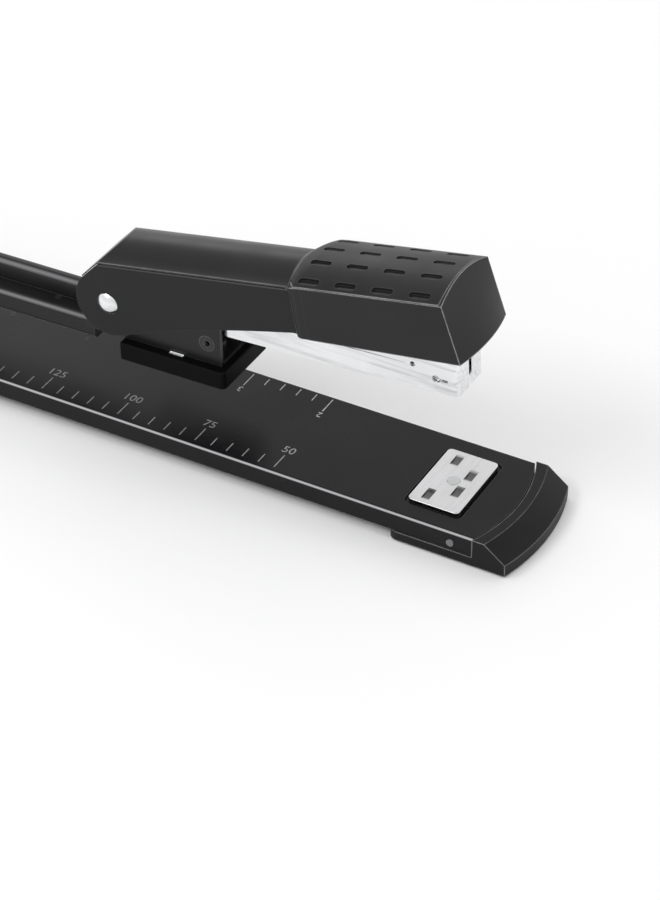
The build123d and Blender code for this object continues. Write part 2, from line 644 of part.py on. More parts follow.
# ---------------------------------------------------------------- head pin, eyelets and bumper
PIN_HEAD_R = 3.2
PIN_DOME = 1.5
with BuildPart() as head_pin:
    with BuildSketch(side_plane(HANDLE)):
        Circle(PIN_R)
    extrude(amount=HANDLE_OUT + RUNNING, both=True)
    for side in (1, -1):
        dome_foot = (PIN_X, side * (HANDLE_OUT + RUNNING), PIN_Z)
        dome_r = (PIN_HEAD_R**2 + PIN_DOME**2) / (2 * PIN_DOME)
        with BuildSketch(Plane(origin=dome_foot, x_dir=(1, 0, 0), z_dir=(0, 0, side))):
            with BuildLine():
                Line((0, 0), (PIN_HEAD_R, 0))
                RadiusArc((PIN_HEAD_R, 0), (0, PIN_DOME), -dome_r)
                Line((0, PIN_DOME), (0, 0))
            make_face()
        revolve(axis=Axis(dome_foot, (0, 1, 0)), revolution_arc=360)
save(head_pin.part, "head_pin")

with BuildPart() as bracket_eyelets:
    for side in (1, -1):
        with BuildSketch(side_plane(ARM, side * BRACKET_IN)):
            with Locations(EYELET):
                Circle(EYELET_R)
                Circle(EYELET_HOLE_R, mode=Mode.SUBTRACT)
        extrude(amount=-side * (BRACKET_OUT - BRACKET_IN + EYELET_LIP))
save(bracket_eyelets.part, "bracket_eyelets")

SCREW_HEAD_R = 2.9
SCREW_HEAD = 1.6
SCREW_SUNK = 0.6
BUMPER_EDGE_R = 0.5
with BuildPart() as head_bumper:
    with BuildSketch(top_plane(ARM, BUMPER_REAR, BUMPER_LOW)) as bumper_plan:
        Rectangle(BUMPER_FRONT - BUMPER_REAR, 2 * BUMPER_HALF, align=(Align.MIN, Align.CENTER))
        fillet(bumper_plan.vertices().group_by(Axis.X)[0], radius=BUMPER_REAR_R)
        fillet(bumper_plan.vertices().group_by(Axis.X)[-1], radius=BUMPER_CORNER_R)
    extrude(amount=BUMPER_HIGH - BUMPER_LOW)
    fillet(head_bumper.faces().sort_by(Axis.Z)[-1].edges(), radius=BUMPER_EDGE_R)
    for along in SCREW_ALONG:
        with BuildSketch(top_plane(ARM, along, BUMPER_LOW)):
            Circle(SCREW_R)
        extrude(amount=BUMPER_HIGH - BUMPER_LOW, mode=Mode.SUBTRACT)
        with BuildSketch(top_plane(ARM, along, BUMPER_LOW)):
            Circle(SCREW_HEAD_R + RUNNING)
        extrude(amount=SCREW_HEAD + SCREW_SUNK, mode=Mode.SUBTRACT)
save(head_bumper.part, "head_bumper")

with BuildPart() as bumper_screws:
    for along in SCREW_ALONG:
        with BuildSketch(top_plane(ARM, along, BUMPER_LOW + SCREW_SUNK)):
            Circle(SCREW_HEAD_R)
        extrude(amount=SCREW_HEAD)
        with BuildSketch(top_plane(ARM, along, BUMPER_LOW + SCREW_SUNK)):
            Circle(SCREW_R)
        extrude(amount=WEB_HIGH - BUMPER_LOW + 0.2)
        with BuildSketch(top_plane(ARM, along, BUMPER_LOW + SCREW_SUNK)):
            Rectangle(0.6, 3.6)
            Rectangle(3.6, 0.6)
        extrude(amount=0.8, mode=Mode.SUBTRACT)
save(bumper_screws.part, "bumper_screws")

with BuildPart() as tongue_rivets:
    with BuildSketch(top_plane(ARM, 0, WEB_LOW)):
        with Locations(TONGUE_RIVETS):
            Circle(TONGUE_RIVET_R)
    extrude(amount=BODY_TOP - WEB_LOW)
    with BuildSketch(top_plane(ARM, 0, WEB_LOW)):
        with Locations(TONGUE_RIVETS):
            Circle(TONGUE_HEAD_R)
    extrude(amount=-TONGUE_HEAD)
save(tongue_rivets.part, "tongue_rivets")

# ---------------------------------------------------------------- magazine return spring, a leaf on the web
LEAF = 0.5
LEAF_HALF = 5.0
LEAF_TIP_UP = 9.4
with BuildPart() as magazine_spring:
    with BuildSketch(side_plane(ARM)):
        with BuildLine():
            Polyline((236.0, WEB_HIGH), (245.5, WEB_HIGH), (259.5, LEAF_TIP_UP), (261.5, LEAF_TIP_UP),
                     (261.5, LEAF_TIP_UP + LEAF), (259.3, LEAF_TIP_UP + LEAF), (245.3, WEB_HIGH + LEAF),
                     (236.0, WEB_HIGH + LEAF), close=True)
        make_face()
    extrude(amount=LEAF_HALF, both=True)
    with BuildSketch(top_plane(ARM, SCREW_ALONG[0], WEB_HIGH)):
        Circle(SCREW_R + 0.1)
    extrude(amount=3, mode=Mode.SUBTRACT)
    with BuildSketch(top_plane(ARM, SCREW_ALONG[1], WEB_HIGH)):
        Circle(SCREW_R + 0.2)
    extrude(amount=9, mode=Mode.SUBTRACT)
save(magazine_spring.part, "magazine_spring")

# ---------------------------------------------------------------- magazine channel
MAG_REAR = -6.0
MAG_EAR_R = 5.5
SLIT_HALF = 0.75
EXIT_REAR = 103.85
KEYHOLE = (99.6, 2.0)
KEYHOLE_R = 1.15
KEYHOLE_SLOT = (2.4, 0.8)
SMALL_HOLE = (92.8, 4.9)
SMALL_HOLE_R = 0.75
CREASE_UP = 4.9
CREASE_LENGTH = 70.0
CREASE_WIDTH = 0.5
CREASE_DEPTH = 0.15
MAG_CORNER_R = 1.5
with BuildPart() as magazine_channel:
    with BuildSketch(side_plane(MAGAZINE)):
        with BuildLine():
            Polyline((MAG_REAR + 3, MAG_LOW), (MAG_FRONT, MAG_LOW), (MAG_FRONT, MAG_HIGH),
                     (MAG_REAR + 6, MAG_HIGH), (MAG_REAR, MAG_HIGH - 5), (MAG_REAR, 0), close=True)
        make_face()
        Circle(MAG_EAR_R)
    extrude(amount=MAG_OUT, both=True)
    corner = magazine_channel.faces().sort_by(Axis((0, 0, 0), (1, 0, 0)))[-1].edges().filter_by(
        Axis.Y, reverse=True)
    fillet(corner, radius=MAG_CORNER_R)
    with BuildSketch(top_plane(MAGAZINE, MAG_REAR - 2, MAG_LOW + MAG_SHEET)):
        Rectangle(MAG_FRONT - MAG_SHEET - MAG_REAR + 2, 2 * MAG_IN, align=(Align.MIN, Align.CENTER))
    extrude(amount=20, mode=Mode.SUBTRACT)
    # the ears below the floor are side walls only
    with BuildSketch(top_plane(MAGAZINE, MAG_REAR - 2, MAG_LOW)):
        Rectangle(12, 2 * MAG_IN, align=(Align.MIN, Align.CENTER))
    extrude(amount=10, both=True, mode=Mode.SUBTRACT)
    # staple exit in the floor and the slit between the folded front flanges
    with BuildSketch(top_plane(MAGAZINE, EXIT_REAR, MAG_LOW - 1)):
        Rectangle(MAG_FRONT - MAG_SHEET - EXIT_REAR, 2 * MAG_IN, align=(Align.MIN, Align.CENTER))
    extrude(amount=3, mode=Mode.SUBTRACT)
    with BuildSketch(section_plane(MAGAZINE, MAG_FRONT - 2)):
        Rectangle(2 * SLIT_HALF, 40)
    extrude(amount=4, mode=Mode.SUBTRACT)
    with BuildSketch(side_plane(MAGAZINE)):
        Circle(PIN_R + RUNNING)
        with Locations(KEYHOLE):
            Circle(KEYHOLE_R)
        with Locations((KEYHOLE[0] + 1.0, KEYHOLE[1])):
            Rectangle(*KEYHOLE_SLOT, align=(Align.MIN, Align.CENTER))
        with Locations(SMALL_HOLE):
            Circle(SMALL_HOLE_R)
    extrude(amount=MAG_OUT + 1, both=True, mode=Mode.SUBTRACT)
    with BuildSketch(top_plane(MAGAZINE, 0, MAG_LOW)):
        with Locations([(along, 0) for along in RAIL_RIVETS]):
            Circle(RAIL_RIVET_R)
    extrude(amount=MAG_SHEET, mode=Mode.SUBTRACT)
    # pressed crease along each side
    for side in (1, -1):
        with BuildSketch(side_plane(MAGAZINE, side * MAG_OUT)):
            with Locations((SMALL_HOLE[0] - 2 - CREASE_LENGTH / 2, CREASE_UP)):
                SlotOverall(CREASE_LENGTH, CREASE_WIDTH)
        extrude(amount=side * CREASE_DEPTH, mode=Mode.SUBTRACT)
save(magazine_channel.part, "magazine_channel")

# ---------------------------------------------------------------- rail under the staples
RAIL_REAR = 10.0
RAIL_SHEET = 0.6
RAIL_STRAP = 7.0
RAIL_HEAD_R = 2.0
RAIL_HEAD = 0.4
RAIL_LOW = MAG_LOW + MAG_SHEET
with BuildPart() as staple_rail:
    with BuildSketch(section_plane(MAGAZINE, RAIL_REAR)):
        with Locations((0, (RAIL_LOW + RAIL_TOP) / 2)):
            Rectangle(2 * RAIL_HALF, RAIL_TOP - RAIL_LOW)
        with Locations((0, (RAIL_LOW + RAIL_TOP) / 2 - RAIL_SHEET)):
            Rectangle(2 * (RAIL_HALF - RAIL_SHEET), RAIL_TOP - RAIL_LOW, mode=Mode.SUBTRACT)
    extrude(amount=RAIL_FRONT - RAIL_REAR)
    for along in RAIL_RIVETS:
        with BuildSketch(top_plane(MAGAZINE, along, RAIL_LOW)):
            Rectangle(RAIL_STRAP, 2 * (RAIL_HALF - RAIL_SHEET / 3))
        extrude(amount=RAIL_SHEET)
        with BuildSketch(top_plane(MAGAZINE, along, RAIL_LOW)):
            Circle(RAIL_RIVET_R)
        extrude(amount=2, mode=Mode.SUBTRACT)
save(staple_rail.part, "staple_rail")

with BuildPart() as rail_rivets:
    for along in RAIL_RIVETS:
        with BuildSketch(top_plane(MAGAZINE, along, MAG_LOW)):
            Circle(RAIL_RIVET_R)
        extrude(amount=MAG_SHEET + RAIL_SHEET)
        with BuildSketch(top_plane(MAGAZINE, along, MAG_LOW)):
            Circle(RAIL_HEAD_R)
        extrude(amount=-RAIL_HEAD)
        with BuildSketch(top_plane(MAGAZINE, along, RAIL_LOW + RAIL_SHEET)):
            Circle(RAIL_HEAD_R)
        extrude(amount=RAIL_HEAD)
save(rail_rivets.part, "rail_rivets")

# ---------------------------------------------------------------- staple strip
with BuildPart() as staple_strip:
    with BuildSketch(section_plane(MAGAZINE, STRIP_REAR)):
        with Locations((0, (LEG_TIP + STRIP_TOP) / 2)):
            Rectangle(2 * STRIP_HALF, STRIP_TOP - LEG_TIP)
        with Locations((0, (LEG_TIP + STRIP_TOP) / 2 - STRIP_WIRE)):
            Rectangle(2 * (RAIL_HALF + STRIP_PLAY), STRIP_TOP - LEG_TIP, mode=Mode.SUBTRACT)
    extrude(amount=STRIP_FRONT - STRIP_REAR)
save(staple_strip.part, "staple_strip")

# ---------------------------------------------------------------- pusher, its rod and spring
SUPPORT_SHEET = 1.0
SUPPORT_LOW = 5.0
SUPPORTS = (7.0, 97.0)
with BuildPart() as rod_supports:
    for along in SUPPORTS:
        with BuildSketch(section_plane(MAGAZINE, along)):
            with Locations((0, (SUPPORT_LOW + MAG_HIGH) / 2)):
                Rectangle(2 * MAG_IN, MAG_HIGH - SUPPORT_LOW)
            with Locations((0, ROD_Z)):
                Circle(ROD_R, mode=Mode.SUBTRACT)
        extrude(amount=SUPPORT_SHEET)
save(rod_supports.part, "rod_supports")

with BuildPart() as guide_rod:
    with BuildSketch(section_plane(MAGAZINE, SUPPORTS[0] - 0.6, ROD_Z)):
        Circle(ROD_R)
    extrude(amount=SUPPORTS[1] - SUPPORTS[0] + SUPPORT_SHEET + 1.2)
save(guide_rod.part, "guide_rod")

PUSHER_REAR = STRIP_REAR - PUSHER_LENGTH - 0.05
PUSHER_HALF = 6.4
PUSHER_TOP = 8.8
PUSHER_STEP = (6.0, 3.8)
with BuildPart() as pusher:
    with BuildSketch(section_plane(MAGAZINE, PUSHER_REAR)):
        with Locations((0, (LEG_TIP + PUSHER_TOP) / 2)):
            Rectangle(2 * PUSHER_HALF, PUSHER_TOP - LEG_TIP)
        with Locations((0, LEG_TIP)):
            Rectangle(2 * (RAIL_HALF + RUNNING), 2 * (RAIL_TOP + RUNNING - LEG_TIP), mode=Mode.SUBTRACT)
        with Locations((0, ROD_Z)):
            Circle(ROD_R + RUNNING, mode=Mode.SUBTRACT)
    extrude(amount=PUSHER_LENGTH)
    with BuildSketch(side_plane(MAGAZINE)):
        with Locations((PUSHER_REAR, PUSHER_TOP)):
            Rectangle(*PUSHER_STEP, align=(Align.MIN, Align.MAX))
    extrude(amount=PUSHER_HALF, both=True, mode=Mode.SUBTRACT)
save(pusher.part, "pusher")

PUSHER_WIRE = 0.28
coil_rear = SUPPORTS[0] + SUPPORT_SHEET + PUSHER_WIRE + 0.05
coil_front = PUSHER_REAR + PUSHER_STEP[0] - PUSHER_WIRE - 0.1
with BuildPart() as pusher_spring:
    with BuildLine() as pusher_coil:
        Helix(pitch=2.6, height=coil_front - coil_rear, radius=1.4, center=point(MAGAZINE, coil_rear, ROD_Z),
              direction=(math.cos(math.radians(MAG_TILT)), 0, math.sin(math.radians(MAG_TILT))))
    with BuildSketch(Plane(origin=pusher_coil.line @ 0, z_dir=pusher_coil.line % 0)):
        Circle(PUSHER_WIRE)
    sweep(is_frenet=True)
save(pusher_spring.part, "pusher_spring")

# ---------------------------------------------------------------- handle channel
CHAMFER_ANGLE = 130.5
EAR_END_ANGLE = -78.0
CHAMFER_FOOT = (EAR_R * math.cos(math.radians(CHAMFER_ANGLE)), EAR_R * math.sin(math.radians(CHAMFER_ANGLE)))
CHAMFER_TOP = (-0.7, HANDLE_TOP)
EAR_END = (EAR_R * math.cos(math.radians(EAR_END_ANGLE)), EAR_R * math.sin(math.radians(EAR_END_ANGLE)))
CHANNEL_FRONT = 99.0
WEB_REAR = 6.0
HOLDER_RIVETS = [(89.0, 4.0), (89.0, -4.0)]
LEAF_RIVETS = [(51.0, 3.5), (51.0, -3.5)]
HOUSING_SCREWS = [(70.0, 0.0), (80.0, 0.0)]
HANDLE_RIVET_R = 1.0
SMALL_HEAD_R = 1.7
SMALL_HEAD = 0.6
HOUSING_SCREW_R = 1.2
HOUSING_HEAD_R = 2.4
HOUSING_HEAD = 1.2
SCREW_BITE = 2.2
CHANNEL_EDGE_R = 0.7


def along_handle(edge):
    """True for a straight edge that runs along the handle."""
    t = math.radians(HANDLE_TILT)
    return abs((edge % 0.5).dot(Vector(math.cos(t), 0, math.sin(t)))) > 0.999


with BuildPart() as handle_channel:
    with BuildSketch(side_plane(HANDLE)):
        with BuildLine():
            Line(CHAMFER_FOOT, CHAMFER_TOP)
            Polyline(CHAMFER_TOP, (CHANNEL_FRONT, HANDLE_TOP), (CHANNEL_FRONT, 1.0), (64.0, 1.0),
                     (60.0, -1.1))
            Spline((60.0, -1.1), (37.0, -3.4), (14.0, -7.1), EAR_END)
            ThreePointArc(EAR_END, (-EAR_R, 0), CHAMFER_FOOT)
        make_face()
        Circle(PIN_R + RUNNING, mode=Mode.SUBTRACT)
    extrude(amount=HANDLE_OUT, both=True)
    fillet(handle_channel.edges().filter_by(along_handle).group_by(Axis.Z)[-1], radius=CHANNEL_EDGE_R)
    with BuildSketch(top_plane(HANDLE, -20, HANDLE_TOP - 1)):
        Rectangle(200, 2 * HANDLE_IN, align=(Align.MIN, Align.CENTER))
    extrude(amount=-40, mode=Mode.SUBTRACT)
    with BuildSketch(top_plane(HANDLE, -20, HANDLE_TOP + 1)):
        Rectangle(20 + WEB_REAR, 2 * HANDLE_IN, align=(Align.MIN, Align.CENTER))
    extrude(amount=-40, mode=Mode.SUBTRACT)
    with BuildSketch(top_plane(HANDLE, 0, HANDLE_TOP)):
        with Locations(HOLDER_RIVETS + LEAF_RIVETS):
            Circle(HANDLE_RIVET_R)
        with Locations(HOUSING_SCREWS):
            Circle(HOUSING_SCREW_R)
    extrude(amount=-1, mode=Mode.SUBTRACT)
save(handle_channel.part, "handle_channel")

# ---------------------------------------------------------------- rear top cover
COVER_LOW = HANDLE_TOP + COVER_GAP
COVER_R = (HANDLE_OUT**2 + COVER_CROWN**2) / (2 * COVER_CROWN)
COVER_AXIS = COVER_LOW + COVER_EDGE + COVER_CROWN - COVER_R
COVER_FOOT = 0.3
COVER_REACH = 14.0
SHADOW_HIGH = 0.55
SHADOW_DEEP = 0.5
slope = math.atan2(CHAMFER_TOP[1] - CHAMFER_FOOT[1], CHAMFER_TOP[0] - CHAMFER_FOOT[0])
inner_knee = CHAMFER_TOP[0] - COVER_GAP * math.tan(slope / 2)


def off_chamfer(along, out):
    """Point at a distance up the handle's rear slope from its foot, and out from the steel."""
    return (CHAMFER_FOOT[0] + along * math.cos(slope) - out * math.sin(slope),
            CHAMFER_FOOT[1] + along * math.sin(slope) + out * math.cos(slope))


with BuildPart() as top_cover:
    with BuildSketch(side_plane(HANDLE)):
        Polygon(off_chamfer(COVER_FOOT, COVER_GAP), (inner_knee, COVER_LOW), (COVER_FRONT, COVER_LOW),
                (COVER_FRONT, COVER_LOW + COVER_REACH), off_chamfer(2 * COVER_REACH, COVER_PLATE),
                off_chamfer(COVER_FOOT, COVER_PLATE), align=None)
    extrude(amount=HANDLE_OUT, both=True)
    # crowned across; the slope at the rear stays flat
    with BuildSketch(section_plane(HANDLE, -COVER_REACH)):
        with Locations((0, COVER_AXIS)):
            Circle(COVER_R)
    extrude(amount=COVER_FRONT + COVER_REACH, mode=Mode.INTERSECT)
    # hollow below the crown
    with BuildSketch(section_plane(HANDLE, CHAMFER_TOP[0] + 2 * COVER_WALL)):
        with Locations((0, COVER_AXIS)):
            Circle(COVER_R - COVER_WALL)
        with Locations((0, COVER_LOW - 1)):
            Rectangle(2 * (HANDLE_OUT - 2 * COVER_WALL), COVER_REACH, align=(Align.CENTER, Align.MIN),
                      mode=Mode.INTERSECT)
    extrude(amount=COVER_FRONT - CHAMFER_TOP[0] - 3 * COVER_WALL, mode=Mode.SUBTRACT)
    # undercut that leaves a shadow line above the steel side
    for side in (1, -1):
        with BuildSketch(side_plane(HANDLE, side * HANDLE_OUT)):
            with Locations((inner_knee, COVER_LOW)):
                Rectangle(COVER_FRONT, 2 * SHADOW_HIGH, align=(Align.MIN, Align.CENTER))
        extrude(amount=side * SHADOW_DEEP, mode=Mode.SUBTRACT)
save(top_cover.part, "top_cover")

# ---------------------------------------------------------------- front grip housing
CROWN_R = (GRIP_HALF**2 + (GRIP_CROWN - GRIP_EDGE) ** 2) / (2 * (GRIP_CROWN - GRIP_EDGE))
CROWN_AXIS = GRIP_CROWN - CROWN_R
FRONT_TOP = 107.3
FRONT_LOW = 110.6
FRONT_BULGE_TOP = 0.1
FRONT_BULGE_LOW = 1.7
GRIP_ROOF = GRIP_CROWN + 0.4
LIP_HALF = HANDLE_OUT + 0.15
LIP_EDGE = 12.8
LIP_CROWN = 16.7
BODY_REAR = 66.0
# the flared rear: position, half width, edge height and crown height of each section
FLARE = [(GRIP_REAR, LIP_HALF, LIP_EDGE, LIP_CROWN), (61.4, 11.6, 13.7, 17.0), (62.5, 12.8, 14.4, 17.3),
         (63.8, 13.25, 14.75, 17.55), (BODY_REAR, GRIP_HALF, GRIP_EDGE, GRIP_CROWN)]


def grip_low(along):
    """Height of the grip's lower edge, which falls slightly towards the front."""
    fall = (GRIP_LOW_FRONT - GRIP_LOW_REAR) / (FRONT_LOW - GRIP_REAR)
    return GRIP_LOW_REAR + fall * (along - GRIP_REAR)


def grip_outline(front, bulge):
    """The grip's body from above: straight sides and a slightly bowed front."""
    Polyline((front, -GRIP_HALF), (BODY_REAR, -GRIP_HALF), (BODY_REAR, GRIP_HALF), (front, GRIP_HALF))
    ThreePointArc((front, GRIP_HALF), (front + bulge, 0), (front, -GRIP_HALF))


def pad_outline(clearance):
    """The pad from above, a narrow rim inside the grip."""
    half = GRIP_HALF - PAD_RIM + clearance
    rear_half = LIP_HALF - PAD_RIM + clearance
    Polyline((PAD_REAR - clearance, rear_half), (PAD_REAR - clearance, -rear_half), (PAD_FLARE, -half),
             (PAD_FRONT + clearance, -half), (PAD_FRONT + clearance, half), (PAD_FLARE, half), close=True)


def grip_block(drop):
    """The grip as one solid, with its top lowered by drop."""
    with BuildPart() as block:
        for low, front, bulge in ((grip_low(FRONT_LOW), FRONT_LOW, FRONT_BULGE_LOW),
                                  (GRIP_ROOF, FRONT_TOP, FRONT_BULGE_TOP)):
            with BuildSketch(top_plane(HANDLE, 0, low)):
                with BuildLine():
                    grip_outline(front, bulge)
                make_face()
        loft()
        with BuildSketch(side_plane(HANDLE)):
            far = FRONT_LOW + 2 * FRONT_BULGE_LOW
            Polygon((BODY_REAR, GRIP_ROOF), (BODY_REAR, grip_low(BODY_REAR)), (far, grip_low(far)),
                    (far, GRIP_ROOF), align=None)
        extrude(amount=GRIP_HALF, both=True, mode=Mode.INTERSECT)
        with BuildSketch(section_plane(HANDLE, 0)):
            with Locations((0, CROWN_AXIS - drop)):
                Circle(CROWN_R)
        extrude(amount=2 * FRONT_LOW, mode=Mode.INTERSECT)
        for along, half, edge, crown in FLARE:
            with BuildSketch(section_plane(HANDLE, along)):
                with BuildLine():
                    Polyline((-half, edge - drop), (-half, grip_low(along)), (half, grip_low(along)),
                             (half, edge - drop))
                    ThreePointArc((half, edge - drop), (0, crown - drop), (-half, edge - drop))
                make_face()
        loft()
    return block.part


HOLLOW_REAR = 65.1
HOLLOW_TOP = HANDLE_TOP - 0.95
with BuildPart() as grip_housing:
    add(grip_block(0))
    # room for the steel channel, then the wider hollow of the grip
    with BuildSketch(top_plane(HANDLE, GRIP_REAR - 1, HANDLE_TOP + RUNNING)):
        Rectangle(CHANNEL_FRONT + 4 * RUNNING - GRIP_REAR + 1, 2 * (HANDLE_OUT + RUNNING),
                  align=(Align.MIN, Align.CENTER))
    extrude(amount=-2 * COVER_REACH, mode=Mode.SUBTRACT)
    with BuildSketch(side_plane(HANDLE)):
        Polygon((HOLLOW_REAR, HOLLOW_TOP), (FRONT_TOP - GRIP_WALL + 0.4, HOLLOW_TOP),
                (FRONT_LOW - GRIP_WALL, GRIP_LOW_FRONT), (FRONT_LOW - GRIP_WALL, -10), (HOLLOW_REAR, -10),
                align=None)
    extrude(amount=GRIP_HALF - GRIP_WALL, both=True, mode=Mode.SUBTRACT)
    # recess for the pad
    with BuildSketch(top_plane(HANDLE, 0, 0)):
        with BuildLine():
            pad_outline(RUNNING)
        make_face()
    recess = extrude(amount=2 * GRIP_ROOF, mode=Mode.PRIVATE)
    add(recess - grip_block(PAD_THICK + RUNNING), mode=Mode.SUBTRACT)
    with BuildSketch(top_plane(HANDLE, 0, HANDLE_TOP)):
        with Locations(HOUSING_SCREWS):
            Circle(HOUSING_SCREW_R)
    extrude(amount=SCREW_BITE, mode=Mode.SUBTRACT)
save(grip_housing.part, "grip_housing")

# ---------------------------------------------------------------- slotted pad on the grip
with BuildPart() as grip_pad:
    with BuildSketch(top_plane(HANDLE, 0, 0)):
        with BuildLine():
            pad_outline(0)
        make_face()
    extrude(amount=2 * GRIP_ROOF)
    add(grip_block(0), mode=Mode.INTERSECT)
    add(grip_block(PAD_THICK), mode=Mode.SUBTRACT)
    for row in range(SLOT_ROWS):
        across = (row - (SLOT_ROWS - 1) / 2) * SLOT_PITCH_Y
        height = CROWN_AXIS + math.sqrt(CROWN_R**2 - across**2)
        with BuildSketch(top_plane(HANDLE, SLOT_MIDDLE, height - SLOT_DEPTH)):
            with Locations((0, across)):
                with GridLocations(SLOT_PITCH_X, 1, SLOT_COLUMNS, 1):
                    SlotOverall(SLOT_LENGTH, SLOT_WIDTH)
        extrude(amount=2 * PAD_THICK, mode=Mode.SUBTRACT)
save(grip_pad.part, "grip_pad")

# ---------------------------------------------------------------- staple driver
HOLDER_HALF = 6.0
UNDER_WEB = HANDLE_TOP - SHEET
HOLDER_FOOT_LOW = UNDER_WEB - 1.0
HOLDER_FOOT_HALF = 8.0
HOLDER_FOOT_REAR = HOLDER_RIVETS[0][0] - 3.0
HOLDER_FOOT_FRONT = DRIVER_X + 0.4
HOLDER_THICK = 1.1
HOLDER_TIP = 5.2
HOLDER_HEIGHT = 11.6
BLADE_HALF = 6.4
BLADE_THICK = 0.6
BLADE_TIP = -2.45
BLADE_TOP = 13.5
BLADE_REAR = DRIVER_X - BLADE_THICK / 2
DRIVER_RIVETS = [(3.0, 12.0), (-3.0, 12.0)]
DRIVER_RIVET_R = 0.9
DRIVER_HEAD_R = 1.5
DRIVER_HEAD = 0.5
with BuildPart() as driver_holder:
    with BuildSketch(side_plane(DRIVER)):
        with Locations((BLADE_REAR - HOLDER_THICK, HOLDER_TIP)):
            Rectangle(HOLDER_THICK, HOLDER_HEIGHT, align=(Align.MIN, Align.MIN))
    extrude(amount=HOLDER_HALF, both=True)
    with BuildSketch(side_plane(HANDLE)):
        Polygon((HOLDER_FOOT_REAR, HOLDER_FOOT_LOW), (HOLDER_FOOT_FRONT, HOLDER_FOOT_LOW),
                (HOLDER_FOOT_FRONT, UNDER_WEB), (HOLDER_FOOT_REAR, UNDER_WEB), align=None)
    extrude(amount=HOLDER_FOOT_HALF, both=True)
    with BuildSketch(top_plane(HANDLE, 0, HOLDER_FOOT_LOW)):
        with Locations(HOLDER_RIVETS):
            Circle(HANDLE_RIVET_R)
    extrude(amount=1, mode=Mode.SUBTRACT)
    with BuildSketch(section_plane(DRIVER, BLADE_REAR)):
        with Locations(DRIVER_RIVETS):
            Circle(DRIVER_RIVET_R)
    extrude(amount=2 * HOLDER_THICK, both=True, mode=Mode.SUBTRACT)
save(driver_holder.part, "driver_holder")

with BuildPart() as driver_blade:
    with BuildSketch(section_plane(DRIVER, BLADE_REAR)):
        with Locations((0, (BLADE_TIP + BLADE_TOP) / 2)):
            Rectangle(2 * BLADE_HALF, BLADE_TOP - BLADE_TIP)
        with Locations(DRIVER_RIVETS):
            Circle(DRIVER_RIVET_R, mode=Mode.SUBTRACT)
    extrude(amount=BLADE_THICK)
save(driver_blade.part, "driver_blade")

with BuildPart() as driver_rivets:
    for along, reach, radius in ((BLADE_REAR - HOLDER_THICK - DRIVER_HEAD, DRIVER_HEAD, DRIVER_HEAD_R),
                                 (BLADE_REAR - HOLDER_THICK, HOLDER_THICK + BLADE_THICK, DRIVER_RIVET_R),
                                 (BLADE_REAR + BLADE_THICK, DRIVER_HEAD, DRIVER_HEAD_R)):
        with BuildSketch(section_plane(DRIVER, along)):
            with Locations(DRIVER_RIVETS):
                Circle(radius)
        extrude(amount=reach)
save(driver_rivets.part, "driver_rivets")

with BuildPart() as holder_rivets:
    with BuildSketch(top_plane(HANDLE, 0, HANDLE_TOP)):
        with Locations(HOLDER_RIVETS):
            Circle(HANDLE_RIVET_R)
    extrude(amount=-(HANDLE_TOP - HOLDER_FOOT_LOW))
    with BuildSketch(top_plane(HANDLE, 0, HOLDER_FOOT_LOW)):
        with Locations(HOLDER_RIVETS):
            Circle(SMALL_HEAD_R)
    extrude(amount=-SMALL_HEAD)
save(holder_rivets.part, "holder_rivets")

# ---------------------------------------------------------------- handle spring and fasteners
HANDLE_LEAF_HALF = 7.2
FOOT_UP = 5.6
CURL_UP = 5.9
with BuildPart() as handle_spring:
    with BuildSketch(side_plane(HANDLE)):
        Polygon((56.0, UNDER_WEB), (46.0, UNDER_WEB), (28.0, FOOT_UP + LEAF), (26.0, CURL_UP + LEAF),
                (26.0, CURL_UP), (28.0, FOOT_UP), (46.2, UNDER_WEB - LEAF), (56.0, UNDER_WEB - LEAF),
                align=None)
    extrude(amount=HANDLE_LEAF_HALF, both=True)
    with BuildSketch(top_plane(HANDLE, 0, UNDER_WEB)):
        with Locations(LEAF_RIVETS):
            Circle(HANDLE_RIVET_R)
    extrude(amount=-1, mode=Mode.SUBTRACT)
save(handle_spring.part, "handle_spring")

with BuildPart() as leaf_rivets:
    with BuildSketch(top_plane(HANDLE, 0, HANDLE_TOP)):
        with Locations(LEAF_RIVETS):
            Circle(HANDLE_RIVET_R)
    extrude(amount=-(1 + LEAF))
    with BuildSketch(top_plane(HANDLE, 0, UNDER_WEB - LEAF)):
        with Locations(LEAF_RIVETS):
            Circle(SMALL_HEAD_R)
    extrude(amount=-SMALL_HEAD)
save(leaf_rivets.part, "leaf_rivets")

with BuildPart() as housing_screws:
    with BuildSketch(top_plane(HANDLE, 0, UNDER_WEB)):
        with Locations(HOUSING_SCREWS):
            Circle(HOUSING_SCREW_R)
    extrude(amount=SHEET + SCREW_BITE - 0.2)
    with BuildSketch(top_plane(HANDLE, 0, UNDER_WEB)):
        with Locations(HOUSING_SCREWS):
            Circle(HOUSING_HEAD_R)
    extrude(amount=-HOUSING_HEAD)
    for place in HOUSING_SCREWS:
        with BuildSketch(top_plane(HANDLE, 0, UNDER_WEB - HOUSING_HEAD)):
            with Locations(place):
                Rectangle(0.5, 3.0)
                Rectangle(3.0, 0.5)
        extrude(amount=0.6, mode=Mode.SUBTRACT)
save(housing_screws.part, "housing_screws")
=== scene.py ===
"""Looks of the long-arm stapler: materials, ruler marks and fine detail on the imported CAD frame. Metres."""

import json
import math

import bmesh
import bpy
from mathutils import Matrix, Vector


